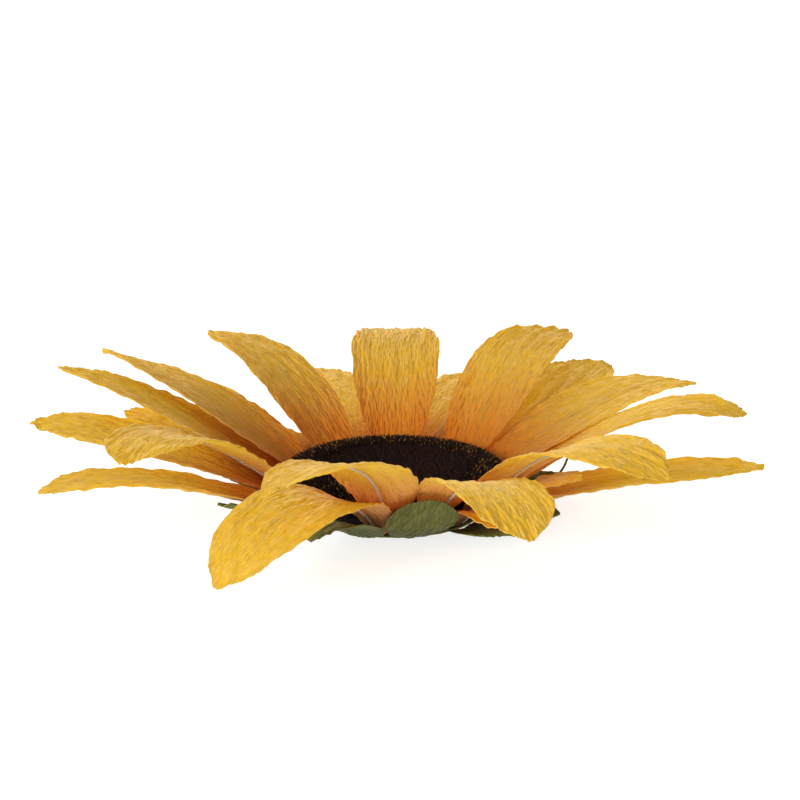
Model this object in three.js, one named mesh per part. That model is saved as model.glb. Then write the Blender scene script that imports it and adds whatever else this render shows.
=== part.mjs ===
// A giant crepe-paper sunflower head, lying face up on its green backing disc.
// The origin is the middle of the backing disc's flat underside, and +Z points up out of
// the flower's face. Angles around the head are in degrees, anticlockwise from +X.
import * as THREE from 'three';

// ---------------------------------------------------------------- driving dimensions, mm
const CLEARANCE = 0.4; // air between pieces that are glued together on the real head
const ROUND_SIDES = 48; // flats around the rolls and the backing disc

const CORE_RADIUS = 40; // dark middle roll of fringed paper
const CORE_HEIGHT = 25;
const ROLL_FOOT_WALL = 4.6; // thickness of the outer roll where it stands on the disc
const ROLL_WAIST_WALL = 6.6; // the petals hold it in up to its waist
const ROLL_WAIST_HEIGHT = 14;
const ROLL_TOP_WALL = 18.6; // its fringe spreads as it rises
const ROLL_HEIGHT = 26;
const ROLL_SHOULDER = 3; // rounding of the outer roll's upper rim
const BACKING_LIP = 1; // the backing disc reaches this far past the roll's foot
const BACKING_THICKNESS = 1.4;

const PETAL_LENGTH = 150; // along the paper, root to tip
const PETAL_WIDTH = 50;
const PETAL_THICKNESS = 0.8; // two laminated layers of heavy crepe paper
const PETAL_STEPS = 12;
const PETAL_STRIPS = 4;
const ROOT_SET_BACK = 3; // petal roots stand this far outside the roll's waist
const ROOT_TUCK = 9; // and at most this far in under its spreading top
const SEPAL_ROOT_RISE = 1.2; // height of the sepal roots, the lowest layer of paper
const OUTER_LAYER_GAP = 2; // air from the sepals' paper up to the wires of the outer petals
const INNER_LAYER_GAP = 2; // air from the outer petals' paper up to the inner petals' wires

const WIRE_RADIUS = 0.6; // paper-covered stem wire glued down the back of each petal
const WIRE_SIDES = 6;
const WIRE_STEPS = 14;
const WIRE_START = 0.03; // shares of the petal's length
const WIRE_END = 0.7;

const SEPAL_LENGTH = 56;
const SEPAL_WIDTH = 38;
const SEPAL_THICKNESS = 0.6;
const SEPAL_STEPS = 9;
const SEPAL_STRIPS = 4;
const SEPAL_TUCK = 1; // sepal roots stand this far inside the petal roots

// Share of the full width along a petal, from its pinched root to its small point.
const PETAL_OUTLINE = [
  [0, 0.26], [0.08, 0.46], [0.18, 0.68], [0.32, 0.87], [0.55, 1.0],
  [0.75, 0.97], [0.88, 0.78], [0.95, 0.45], [1, 0.06],
];

// A sepal's outline starts broad, because it wraps the foot of the head.
const SEPAL_OUTLINE = [
  [0, 0.66], [0.15, 0.82], [0.38, 1.0], [0.62, 0.93], [0.82, 0.68], [0.94, 0.36], [1, 0.08],
];

// ------------------------------------------------------------------- how each petal bends
// at: where its root stands around the head. Each triple holds values at the root, the
// middle and the tip: lift is the climb of the midline above level, swing its turn away
// from straight outwards, twist its roll about itself, cup how far the sides curl up.
// short and narrow take millimetres off the full length and width; raise lifts the root.
const FLAT = [0, 0, 0];
const PETAL_CUP = [34, 10, 5];
const INNER_PETALS = [
  { at: 25, lift: [24, 19, -18], swing: [4, 5, 0], twist: [0, 0, -10], raise: 0.5 },
  { at: 50, lift: [37, 31, -14], swing: [4, 10, -10], short: 14, narrow: 2 },
  { at: 90, lift: [38, 27, -22], short: 14 },
  { at: 126, lift: [38, 27, -10], swing: [-8, 2, 6], twist: [0, 10, 10], short: 10, narrow: 2 },
  { at: 153, lift: [35, 23, 3], swing: [0, -2, -5], twist: [0, 10, 26] },
  { at: 168, lift: [28, 27, 8], twist: [0, 8, 12], raise: -1.6 },
  { at: 192, lift: [38, 27, -22], swing: [8, 36, 58], short: 6 },
  { at: 265, lift: [45, 28, -27], swing: [3, -20, -46], twist: [0, 4, 20], short: 4 },
  { at: 293, lift: [44, 18, -38], swing: [0, -3, 0], twist: [0, -6, 0], short: 14, narrow: 2,
    raise: 1 },
  { at: 322, lift: [43, 26, -30], swing: [-3, -13, 0], raise: 0.5 },
];
const OUTER_PETALS = [
  { at: 2, lift: [26, 24, -24], swing: [0, 5, 5], twist: [0, -13, 10], raise: 2 },
  { at: 23, lift: [18, 18, 4], swing: [3, 6, 6], twist: [0, -18, -18], short: 30, narrow: 26 },
  { at: 42, lift: [25, 17, 0], swing: [5, 12, 14], short: 4, raise: -0.5 },
  { at: 74, lift: [17, 8, -8] },
  { at: 107, lift: [17, 10, -8] },
  { at: 135, lift: [14, 6, 0], short: 35, raise: -1.1 },
  { at: 154, lift: [22, 17, 0], swing: [0, 3, 5], short: 30, narrow: 8, raise: -1 },
  { at: 183, lift: [25, 19, 0], swing: [0, -5, -5] },
  { at: 205, lift: [18, 14, -18], swing: [-4, -12, -12], twist: [0, 7, 4], short: 6,
    raise: -0.5 },
  { at: 260, lift: [50, 6, -54], swing: [-14, -25, -46], twist: [0, -4, -6], short: 3,
    narrow: 2, raise: -1 },
  { at: 312, lift: [46, 12, -10], swing: [0, -16, -12], short: 80, narrow: 14,
    raise: -0.5 },
  { at: 336, lift: [42, 26, 10], swing: [-7, -9, -8], short: 85, narrow: 18, raise: 0.6 },
  { at: 352, lift: [14, 12, 0], swing: [0, 3, 5], twist: [0, -5, -5], short: 4, raise: -1 },
];
const SEPAL_CUP = [20, 15, 10];
const SEPALS = [
  { at: 20, lift: [6, 5, 4] },
  { at: 68, lift: [6, 4, 3] },
  { at: 118, lift: [5, 4, 3] },
  { at: 170, lift: [15, 21, 18], narrow: 8 },
  { at: 213, lift: [13, 20, 14], swing: [0, -12, -18], twist: [0, 16, 16] },
  { at: 249, lift: [32, 24, -75], swing: [0, -22, -45], short: 10, raise: -0.5 },
  { at: 281, lift: [23, 47, 44], swing: [0, 12, 26], twist: [0, -10, -24], short: 12, narrow: 1 },
  { at: 315, lift: [10, 10, 5], swing: [0, 5, 8], short: 18, narrow: 4 },
  { at: 346, lift: [6, 5, 4], short: 16, narrow: 6 },
];

// A loose end of green wire stands out between two petals. Its route is set by hand, for
// petal roots at this radius, and moves out along its own heading if they do.
const LOOSE_WIRE_ROOTS = 50;
const LOOSE_WIRE = [
  [54.5, -19.5, 7.5], [65, -23.5, 13], [75, -25, 18.5],
  [82, -25, 24.5], [87, -25, 31], [89.5, -25, 37],
];

const COLOURS = {
  petal: '#d9a441', wire: '#e6dcc4', looseWire: '#3f4a20', sepal: '#5c6b2e',
  core: '#2a1512', roll: '#4a2c18', backing: '#55642c',
};

// ------------------------------------------------------------------------- shape helpers
const toRadians = THREE.MathUtils.degToRad;

// The curve through three values, at u = 0, 1/2 and 1.
function throughThree([root, middle, tip], u) {
  return root * (1 - u) * (1 - 2 * u) + 4 * middle * u * (1 - u) + tip * u * (2 * u - 1);
}

// An outline read at u, in straight lines between its points.
function widthShare(outline, u) {
  let i = 0;
  while (i < outline.length - 2 && u > outline[i + 1][0]) i += 1;
  const [u0, w0] = outline[i];
  const [u1, w1] = outline[i + 1];
  return THREE.MathUtils.lerp(w0, w1, (u - u0) / (u1 - u0));
}

// Unit vectors of a leaf of paper at u: along it, across it, and out of its upper face.
function paperAxes(leaf, u) {
  const lift = toRadians(throughThree(leaf.lift, u));
  const heading = toRadians(leaf.at + throughThree(leaf.swing, u));
  const twist = toRadians(throughThree(leaf.twist, u));
  const along = new THREE.Vector3(
    Math.cos(lift) * Math.cos(heading), Math.cos(lift) * Math.sin(heading), Math.sin(lift));
  const level = new THREE.Vector3(-Math.sin(heading), Math.cos(heading), 0);
  const up = along.clone().cross(level);
  const across = level.clone().multiplyScalar(Math.cos(twist)).addScaledVector(up, Math.sin(twist));
  const out = along.clone().cross(across);
  return { along, across, out };
}

// Points down the middle of a leaf, found by walking along it in equal steps.
function midline(leaf, steps) {
  const substeps = 8;
  const point = new THREE.Vector3(leaf.rootRadius, 0, leaf.rootRise);
  point.applyAxisAngle(new THREE.Vector3(0, 0, 1), toRadians(leaf.at));
  const points = [point.clone()];
  for (let i = 0; i < steps * substeps; i += 1) {
    const { along } = paperAxes(leaf, (i + 0.5) / (steps * substeps));
    point.addScaledVector(along, leaf.length / (steps * substeps));
    if ((i + 1) % substeps === 0) points.push(point.clone());
  }
  return points;
}

// A leaf of paper as a thin closed shell: its two faces are the same grid of points moved
// half the thickness each way, sewn together around the rim.
function paperShell(leaf, steps, strips, thickness) {
  const middle = midline(leaf, steps);
  const faces = [[], []];
  for (let i = 0; i <= steps; i += 1) {
    const u = i / steps;
    const { across, out } = paperAxes(leaf, u);
    const curl = toRadians(throughThree(leaf.cup, u));
    const bow = leaf.width / 2 * widthShare(leaf.outline, u) / curl; // radius of the curled section
    for (let j = 0; j <= strips; j += 1) {
      const angle = curl * (2 * j / strips - 1);
      [1, -1].forEach((side, face) => {
        const radius = bow - side * thickness / 2;
        faces[face].push(middle[i].clone()
          .addScaledVector(across, radius * Math.sin(angle))
          .addScaledVector(out, bow - radius * Math.cos(angle)));
      });
    }
  }
  const count = faces[0].length;
  const row = strips + 1;
  const index = [];
  const quad = (a, b, c, d) => index.push(a, b, c, a, c, d);
  for (let i = 0; i < steps; i += 1) {
    for (let j = 0; j < strips; j += 1) {
      const a = i * row + j;
      quad(a, a + row, a + row + 1, a + 1);
      quad(count + a, count + a + 1, count + a + row + 1, count + a + row);
    }
    const left = i * row;
    const right = left + strips;
    quad(left, count + left, count + left + row, left + row);
    quad(right, right + row, count + right + row, count + right);
  }
  for (let j = 0; j < strips; j += 1) {
    const far = steps * row + j;
    quad(j, j + 1, count + j + 1, count + j);
    quad(far, count + far, count + far + 1, far + 1);
  }
  return closedGeometry([...faces[0], ...faces[1]], index);
}

function closedGeometry(points, index) {
  const geometry = new THREE.BufferGeometry().setFromPoints(points);
  geometry.setIndex(index);
  geometry.computeVertexNormals();
  return geometry;
}

// A round wire along a list of points.
function wireAlong(route, steps) {
  const section = new THREE.Shape();
  for (let k = 0; k < WIRE_SIDES; k += 1) {
    const angle = 2 * Math.PI * k / WIRE_SIDES;
    const x = WIRE_RADIUS * Math.cos(angle);
    const y = WIRE_RADIUS * Math.sin(angle);
    if (k === 0) section.moveTo(x, y);
    else section.lineTo(x, y);
  }
  section.closePath();
  const extrudePath = new THREE.CatmullRomCurve3(route);
  return new THREE.ExtrudeGeometry(section, { steps, bevelEnabled: false, extrudePath });
}

// The stem wire follows the back of its petal, just clear of the paper.
function petalWire(leaf) {
  const drop = PETAL_THICKNESS / 2 + CLEARANCE + WIRE_RADIUS;
  const finest = 100;
  const middle = midline(leaf, finest);
  const route = [];
  for (let i = 0; i <= WIRE_STEPS; i += 1) {
    const k = Math.round(finest * (WIRE_START + (WIRE_END - WIRE_START) * i / WIRE_STEPS));
    route.push(middle[k].clone().addScaledVector(paperAxes(leaf, k / finest).out, -drop));
  }
  return wireAlong(route, WIRE_STEPS);
}

// A solid turned about Z from a closed profile of [radius, height] points.
function turned(profile) {
  const closed = [...profile, profile[0]];
  const points = closed.map(([radius, height]) => new THREE.Vector2(radius, height));
  const geometry = new THREE.LatheGeometry(points, ROUND_SIDES);
  geometry.rotateX(Math.PI / 2);
  return geometry;
}

// ------------------------------------------------------------------------------- assembly
const head = new THREE.Group();

function add(name, geometry, colour, roughness) {
  const material = new THREE.MeshStandardMaterial({ color: colour, roughness, metalness: 0 });
  const mesh = new THREE.Mesh(geometry, material);
  mesh.name = name;
  head.add(mesh);
}

// A leaf's whole description: its own settings over the ones that its ring shares.
function fillIn(leaf, { length, width, cup, outline, rootRadius, rise }) {
  return {
    swing: FLAT, twist: FLAT, cup, outline, rootRadius, ...leaf,
    rootRise: rise + (leaf.raise ?? 0),
    length: length - (leaf.short ?? 0),
    width: width - (leaf.narrow ?? 0),
  };
}

// The rolled fringe: a dark core inside a ring that spreads towards its top. The core sets
// the ring's bore; the ring sets the backing disc and where the petals stand.
const rollFoot = BACKING_THICKNESS + CLEARANCE;
const shoulderHeight = ROLL_HEIGHT - ROLL_SHOULDER;
const boreRadius = CORE_RADIUS + CLEARANCE;
const footRadius = boreRadius + ROLL_FOOT_WALL;
const waistRadius = boreRadius + ROLL_WAIST_WALL;
const topRadius = boreRadius + ROLL_TOP_WALL;
const backingRadius = footRadius + BACKING_LIP;
add('fringe_core', turned([
  [0, rollFoot], [CORE_RADIUS, rollFoot], [CORE_RADIUS, CORE_HEIGHT - 1],
  [CORE_RADIUS - 1, CORE_HEIGHT], [0, CORE_HEIGHT],
]), COLOURS.core, 1);
add('fringe_ring', turned([
  [boreRadius, rollFoot], [footRadius, rollFoot],
  [waistRadius, ROLL_WAIST_HEIGHT], [topRadius, shoulderHeight],
  [topRadius - ROLL_SHOULDER * 0.3, ROLL_HEIGHT - 1],
  [topRadius - ROLL_SHOULDER, ROLL_HEIGHT], [boreRadius, ROLL_HEIGHT],
]), COLOURS.roll, 1);
add('backing_disc', turned([
  [0, 0], [backingRadius, 0], [backingRadius, BACKING_THICKNESS], [0, BACKING_THICKNESS],
]), COLOURS.backing, 0.9);

// Two rings of wired petals around the roll: clear of its foot and waist, and no further in
// under its top than the tuck allows.
const petalRootRadius = Math.max(
  footRadius + ROOT_SET_BACK, waistRadius + ROOT_SET_BACK, topRadius - ROOT_TUCK);
const petalShape = {
  length: PETAL_LENGTH, width: PETAL_WIDTH, cup: PETAL_CUP, outline: PETAL_OUTLINE,
  rootRadius: petalRootRadius,
};
const outerRise = SEPAL_ROOT_RISE + SEPAL_THICKNESS + OUTER_LAYER_GAP + 2 * WIRE_RADIUS;
const innerRise = outerRise + PETAL_THICKNESS + INNER_LAYER_GAP + 2 * WIRE_RADIUS;
const rings = [
  ['inner', INNER_PETALS, innerRise],
  ['outer', OUTER_PETALS, outerRise],
];
for (const [ring, petals, rise] of rings) {
  petals.forEach((petal, i) => {
    const leaf = fillIn(petal, { ...petalShape, rise });
    const tag = `${ring}_${String(i + 1).padStart(2, '0')}`;
    const paper = paperShell(leaf, PETAL_STEPS, PETAL_STRIPS, PETAL_THICKNESS);
    add(`petal_${tag}`, paper, COLOURS.petal, 0.85);
    add(`wire_${tag}`, petalWire(leaf), COLOURS.wire, 0.7);
  });
}

const looseHeading = new THREE.Vector3(LOOSE_WIRE[0][0], LOOSE_WIRE[0][1], 0).normalize();
const looseShift = looseHeading.multiplyScalar(petalRootRadius - LOOSE_WIRE_ROOTS);
const looseRoute = LOOSE_WIRE.map((point) => new THREE.Vector3(...point).add(looseShift));
add('loose_wire', wireAlong(looseRoute, WIRE_STEPS), COLOURS.looseWire, 0.7);

// Green sepals under the petals, clear of the backing disc.
const sepalShape = {
  length: SEPAL_LENGTH, width: SEPAL_WIDTH, cup: SEPAL_CUP, outline: SEPAL_OUTLINE,
  rootRadius: Math.max(petalRootRadius - SEPAL_TUCK, backingRadius + CLEARANCE),
  rise: SEPAL_ROOT_RISE,
};
SEPALS.forEach((sepal, i) => {
  const leaf = fillIn(sepal, sepalShape);
  const paper = paperShell(leaf, SEPAL_STEPS, SEPAL_STRIPS, SEPAL_THICKNESS);
  add(`sepal_${i + 1}`, paper, COLOURS.sepal, 0.9);
});

export default head;
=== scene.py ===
# %% [markdown]
# # A giant crepe-paper sunflower head
# This is a handmade paper flower about 38 cm across. Two rings of long golden petals, each
# stiffened by a wire glued down its back, stand around a dark centre rolled from fringed
# paper. Green paper sepals spread under them, and the whole head lies on its back.
# The plain solids of the design are loaded first. They say where everything is. Each one is
# then rebuilt in finer detail in the same place.

# %% Load the frame
import math

import bpy
import numpy as np
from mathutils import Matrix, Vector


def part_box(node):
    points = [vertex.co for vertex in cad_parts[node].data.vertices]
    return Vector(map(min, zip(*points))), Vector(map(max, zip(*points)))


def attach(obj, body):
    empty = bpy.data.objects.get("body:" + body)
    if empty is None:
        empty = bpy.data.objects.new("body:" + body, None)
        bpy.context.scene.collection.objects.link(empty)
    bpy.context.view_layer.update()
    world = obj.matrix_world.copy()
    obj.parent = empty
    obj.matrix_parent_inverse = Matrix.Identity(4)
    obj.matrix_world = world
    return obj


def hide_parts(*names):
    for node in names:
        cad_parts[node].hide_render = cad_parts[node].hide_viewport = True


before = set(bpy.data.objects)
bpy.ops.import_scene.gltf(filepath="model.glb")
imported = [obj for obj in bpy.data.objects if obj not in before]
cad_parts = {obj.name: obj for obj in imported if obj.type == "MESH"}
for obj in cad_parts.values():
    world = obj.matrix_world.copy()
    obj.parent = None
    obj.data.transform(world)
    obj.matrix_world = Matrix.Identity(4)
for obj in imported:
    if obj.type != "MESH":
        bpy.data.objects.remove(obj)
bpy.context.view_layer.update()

MM = 0.001

# %% [markdown]
# ## Camera
# The flower is seen from a little above, with a long lens from far away, so that near and far
# petals keep almost the same scale. An unturned camera looks straight down. Turned about X
# by a right angle it looks level, so it is turned by that less the angle it looks down at.

# %% Camera
CAMERA_LENS = 100  # mm
CAMERA_DISTANCE = 1167 * MM
CAMERA_ELEVATION = math.radians(16)
CAMERA_TARGET = np.array([2.6, 0, 60.6]) * MM

camera_data = bpy.data.cameras.new("camera")
camera_data.lens = CAMERA_LENS
camera = bpy.data.objects.new("camera", camera_data)
bpy.context.scene.collection.objects.link(camera)
back = np.array([0, -math.cos(CAMERA_ELEVATION), math.sin(CAMERA_ELEVATION)])
camera.location = CAMERA_TARGET + CAMERA_DISTANCE * back
camera.rotation_euler = (math.pi / 2 - CAMERA_ELEVATION, 0, 0)
bpy.context.scene.camera = camera
bpy.context.scene.view_settings.view_transform = "Standard"
print("camera at", [round(c, 3) for c in camera.location])

# %% [markdown]
# ## Colours and nodes
# Colours are easiest to choose as the hex codes of a colour picker, but shaders add light up
# in linear values, so one function turns one into the other. A material is a small graph of
# nodes. One helper adds a node with its settings and links, which keeps each material to a
# list that reads from the pattern to the finished surface.

# %% Colours
def linear(code):
    """A colour written as sRGB hex, as the linear values that shaders work in."""
    srgb = np.array([int(code[i:i + 2], 16) for i in (1, 3, 5)]) / 255
    low = srgb / 12.92
    high = ((srgb + 0.055) / 1.055) ** 2.4
    return (*np.where(srgb <= 0.04045, low, high), 1.0)


# %% Node helper
def add_node(material, kind, settings=None, links=None):
    """Adds a node to a material, sets its inputs or options, and joins inputs to sources."""
    node = material.node_tree.nodes.new(kind)
    for key, value in (settings or {}).items():
        if isinstance(key, int) or key in node.inputs.keys():
            node.inputs[key].default_value = value
        else:
            setattr(node, key, value)
    for key, source in (links or {}).items():
        material.node_tree.links.new(source, node.inputs[key])
    return node


MIX_A = 6  # places of a colour mix's two inputs and its output among the node's sockets
MIX_B = 7
MIX_OUT = 2


def new_material(name):
    """An empty node material with only its output."""
    material = bpy.data.materials.new(name)
    material.use_nodes = True
    material.node_tree.nodes.clear()
    add_node(material, "ShaderNodeOutputMaterial", {"name": "out"})
    return material


def finish_material(material, shader):
    """Joins the last shader to the material's output."""
    surface = material.node_tree.nodes["out"].inputs["Surface"]
    material.node_tree.links.new(shader, surface)
    return material


# %% [markdown]
# ## Floor and light
# Paper looks best in broad, soft light. A white room lights it from all round, and the floor
# shines a little itself, so that it stays white under the petals. One low broad light from the
# front left gives the wrinkles a bright side. A second from behind shines through the paper,
# which is what makes the petals glow.

# %% Floor and world
FLOOR_SIDE = 14.0  # metres, so that its edge is out of sight
ROOM_STRENGTH = 0.6
WHITE = (1, 1, 1, 1)

floor_mesh = bpy.data.meshes.new("floor")
half = FLOOR_SIDE / 2
floor_corners = [(-half, -half, 0), (half, -half, 0), (half, half, 0), (-half, half, 0)]
floor_mesh.from_pydata(floor_corners, [], [(0, 1, 2, 3)])
floor = bpy.data.objects.new("floor", floor_mesh)
bpy.context.scene.collection.objects.link(floor)
paint = new_material("white_painted_floor")
matt = add_node(paint, "ShaderNodeBsdfPrincipled", {
    "Base Color": linear("#a8a8a8"), "Roughness": 0.9, "Specular IOR Level": 0.1,
    "Emission Color": WHITE, "Emission Strength": 0.8})
floor_mesh.materials.append(finish_material(paint, matt.outputs["BSDF"]))

world = bpy.data.worlds.new("white_room")
world.use_nodes = True
sky = world.node_tree.nodes["Background"].inputs
sky["Color"].default_value = WHITE
sky["Strength"].default_value = ROOM_STRENGTH
bpy.context.scene.world = world
print("floor:", FLOOR_SIDE, "m square, room light", ROOM_STRENGTH)


# %% Lamps
def soft_sun(name, azimuth, elevation, strength, spread):
    """A broad even light from far away. azimuth is its compass side as seen from above, from
    +X anticlockwise, in degrees; spread is how wide the source looks."""
    data = bpy.data.lights.new(name, "SUN")
    data.energy = strength
    data.angle = math.radians(spread)
    lamp = bpy.data.objects.new(name, data)
    bpy.context.scene.collection.objects.link(lamp)
    lamp.rotation_euler = (math.radians(90 - elevation), 0, math.radians(azimuth + 90))
    return lamp


soft_sun("key_light", azimuth=226, elevation=18, strength=2.5, spread=20)
soft_sun("back_light", azimuth=95, elevation=16, strength=2.6, spread=35)

# %% [markdown]
# ## Making meshes from arrays
# Every piece is worked out with numpy as whole arrays of points, so thousands of points cost
# one line. The points and faces then go into a Blender mesh in one step each.

# %% Mesh helpers
def piece_from(name, points, faces, material, body="root", values=None, uv=None, smooth=True):
    """A Blender object from an array of points in millimetres and one of face corners.
    values are named numbers, one for each point. uv gives each point's place on the paper."""
    mesh = bpy.data.meshes.new(name)
    mesh.vertices.add(len(points))
    mesh.vertices.foreach_set("co", (points * MM).astype(np.float32).ravel())
    mesh.loops.add(faces.size)
    mesh.loops.foreach_set("vertex_index", faces.astype(np.int32).ravel())
    mesh.polygons.add(len(faces))
    starts = np.arange(0, faces.size, faces.shape[1], dtype=np.int32)
    mesh.polygons.foreach_set("loop_start", starts)
    mesh.update(calc_edges=True)
    mesh.polygons.foreach_set("use_smooth", np.full(len(faces), smooth))
    for key, numbers in (values or {}).items():
        mesh.attributes.new(key, "FLOAT", "POINT").data.foreach_set(
            "value", numbers.astype(np.float32))
    if uv is not None:
        corners = (uv * MM).astype(np.float32)[faces.ravel()]
        mesh.uv_layers.new(name="paper").data.foreach_set("uv", corners.ravel())
    mesh.materials.append(material)
    piece = bpy.data.objects.new(name, mesh)
    bpy.context.scene.collection.objects.link(piece)
    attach(piece, body)
    return piece


# %% Faces of grids and tubes
def grid_faces(rows, columns, join_rows=False, join_columns=False):
    """Corner numbers of the quads of a grid of points, joined last to first where asked."""
    row = np.arange(rows if join_rows else rows - 1)[:, None]
    column = np.arange(columns if join_columns else columns - 1)[None, :]
    below = (row + 1) % rows * columns
    row = row * columns
    right = (column + 1) % columns
    corners = [row + column, below + column, below + right, row + right]
    return np.stack(np.broadcast_arrays(*corners), axis=-1).reshape(-1, 4)


def capped_faces(rows, columns):
    """Triangles of a closed tube of rings: the quads between rings, split, and a fan at each
    end. The fans' middle points are the last two points of the piece."""
    quads = grid_faces(rows, columns, join_columns=True)[:, ::-1]
    sides = np.concatenate([quads[:, [0, 1, 2]], quads[:, [0, 2, 3]]])
    k = np.arange(columns)
    after = (k + 1) % columns
    pole = rows * columns + 0 * k
    last = (rows - 1) * columns
    start = np.stack([pole, after, k], axis=-1)
    end = np.stack([pole + 1, k + last, after + last], axis=-1)
    return np.concatenate([sides, start, end])


# %% Turned bodies and closed sheets
def turned(radii, heights, turn):
    """Rings of points of a solid of revolution about Z: a profile's radii and heights, at each
    angle of turn."""
    return np.stack([
        radii[:, None] * np.cos(turn), radii[:, None] * np.sin(turn),
        np.broadcast_to(heights[:, None], (len(radii), len(turn)))], axis=-1)


def shell_faces(rows, columns):
    """Quads of a closed sheet of paper: an upper grid, a lower grid turned over, and a rim."""
    upper = grid_faces(rows, columns)
    lower = upper[:, ::-1] + rows * columns
    number = np.arange(rows * columns).reshape(rows, columns)
    around = np.concatenate([
        number[0, :-1], number[:-1, -1], number[-1, :0:-1], number[:0:-1, 0]])
    after = np.roll(around, -1)
    under = rows * columns
    rim = np.stack([around, after, after + under, around + under], axis=-1)
    return np.concatenate([upper, lower, rim])


# %% [markdown]
# ## How crepe paper is wrinkled
# Crepe paper is scraped off a drum while wet, which leaves long narrow wrinkles, all along
# one direction. They are not stripes: each one swells, thins and ends between two others.
# Random numbers filtered to one spacing across and a much longer one along give just that.
# One big sheet of relief is made once, and each petal is cut from its own place on it.

# %% Crepe relief
SHEET_POINTS = 512
SHEET_PITCH = 0.5  # mm between points of the sheet


def crepe_sheet(seed, spacing, length, spread=0.35):
    """Heights of a square of crepe paper, mostly between -2 and 2. White noise is turned to
    waves, and each wave is kept by how near it is to the wrinkles' spacing across, and by how
    slowly it changes along them: weight = exp(-(f_across * spacing - 1)^2 / spread^2)
    * exp(-(f_along * length)^2). spacing and length are in mm."""
    noise = np.random.default_rng(seed).standard_normal((SHEET_POINTS, SHEET_POINTS))
    frequency = np.fft.fftfreq(SHEET_POINTS, SHEET_PITCH)
    across = np.abs(frequency)[None, :]
    along = frequency[:, None]
    weight = np.exp(-((across * spacing - 1) / spread) ** 2 - (along * length) ** 2)
    heights = np.fft.ifft2(np.fft.fft2(noise) * weight).real
    return heights / heights.std()


# %% Reading the sheet
def read_sheet(sheet, across, along):
    """The sheet's height at places in mm, in straight lines between its four nearest points.
    The sheet repeats beyond its edges."""
    x = across / SHEET_PITCH
    y = along / SHEET_PITCH
    x0 = np.floor(x).astype(int)
    y0 = np.floor(y).astype(int)
    fx = x - x0
    fy = y - y0
    wrap = SHEET_POINTS
    low = sheet[y0 % wrap, x0 % wrap] * (1 - fx) + sheet[y0 % wrap, (x0 + 1) % wrap] * fx
    high = (sheet[(y0 + 1) % wrap, x0 % wrap] * (1 - fx)
            + sheet[(y0 + 1) % wrap, (x0 + 1) % wrap] * fx)
    return low * (1 - fy) + high * fy


WRINKLES = crepe_sheet(seed=3, spacing=2.6, length=9)
FOLDS = crepe_sheet(seed=4, spacing=9, length=22)
print("crepe sheet:", WRINKLES.shape, "heights", round(WRINKLES.min(), 1), round(WRINKLES.max(), 1))

# %% [markdown]
# ## The bend of a petal
# A wired petal keeps the bend that the maker's hands gave it. Its middle line is followed
# from the root in small steps. At each step three values, each set at the root, the middle
# and the tip, say how much it climbs, how far it turns aside and how far it rolls about
# itself. The sides then curl up a little around that line.

# %% Petal sizes and shape
PETAL_LENGTH = 150  # mm, as are all sizes of pieces here
PETAL_WIDTH = 50
PETAL_ROOT_RADIUS = 50
INNER_ROOT_RISE = 9
OUTER_ROOT_RISE = 5
PETAL_CUP = (34, 10, 5)  # degrees that a side is curled up by, at the root, middle and tip
PAPER_THICKNESS = 0.55  # heavy crepe, measured over its wrinkles

# Share of the full width along a petal, from its pinched root to its small point.
PETAL_OUTLINE = np.array([
    (0, 0.26), (0.08, 0.46), (0.18, 0.68), (0.32, 0.87), (0.55, 1.0),
    (0.75, 0.97), (0.88, 0.78), (0.95, 0.45), (1, 0.06)])
print("petals:", PETAL_LENGTH, "by", PETAL_WIDTH, "mm when flat")


# %% Curves through set values
def through_three(values, u):
    """The curve through three values, at u = 0, 1/2 and 1."""
    root, middle, tip = values
    return root * (1 - u) * (1 - 2 * u) + 4 * middle * u * (1 - u) + tip * u * (2 * u - 1)


def smooth_through(points, u):
    """A smooth curve through (u, value) points: between each two it is the cubic whose
    slopes there are the mean slopes of the points around them."""
    x, y = points.T
    slope = np.gradient(y, x)
    i = np.clip(np.searchsorted(x, u) - 1, 0, len(x) - 2)
    gap = x[i + 1] - x[i]
    t = (u - x[i]) / gap
    return (y[i] * (1 + 2 * t) * (1 - t) ** 2 + y[i + 1] * t * t * (3 - 2 * t)
            + slope[i] * gap * t * (1 - t) ** 2 - slope[i + 1] * gap * t * t * (1 - t))


# %% Middle line of a leaf
MIDLINE_STEPS = 960


def paper_axes(leaf, u):
    """Unit vectors of a leaf at each u: along it, across it and out of its upper face."""
    lift = np.radians(through_three(leaf["lift"], u))
    heading = np.radians(leaf["at"] + through_three(leaf["swing"], u))
    twist = np.radians(through_three(leaf["twist"], u))[:, None]
    along = np.stack([
        np.cos(lift) * np.cos(heading), np.cos(lift) * np.sin(heading), np.sin(lift)], axis=-1)
    level = np.stack([-np.sin(heading), np.cos(heading), np.zeros_like(u)], axis=-1)
    up = np.cross(along, level)
    across = level * np.cos(twist) + up * np.sin(twist)
    return along, across, np.cross(along, across)


def midline(leaf, u):
    """Points down the middle of a leaf: the root, plus the sum of small steps along it."""
    along, _, _ = paper_axes(leaf, (np.arange(MIDLINE_STEPS) + 0.5) / MIDLINE_STEPS)
    at = math.radians(leaf["at"])
    root = np.array([leaf["radius"] * math.cos(at), leaf["radius"] * math.sin(at), leaf["rise"]])
    path = np.vstack([root, root + np.cumsum(along, axis=0) * leaf["length"] / MIDLINE_STEPS])
    where = np.linspace(0, 1, MIDLINE_STEPS + 1)
    return np.stack([np.interp(u, where, path[:, k]) for k in range(3)], axis=-1)


# %% [markdown]
# ## The surface of a petal
# On top of its bend the paper has its own relief: the crepe wrinkles, deeper towards the tip
# where the paper was not stretched, slow folds, a faint ridge over the wire, and edges that
# wave because they were pulled between the fingers. Both faces of the thin sheet share that
# relief, as in real paper.

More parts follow.
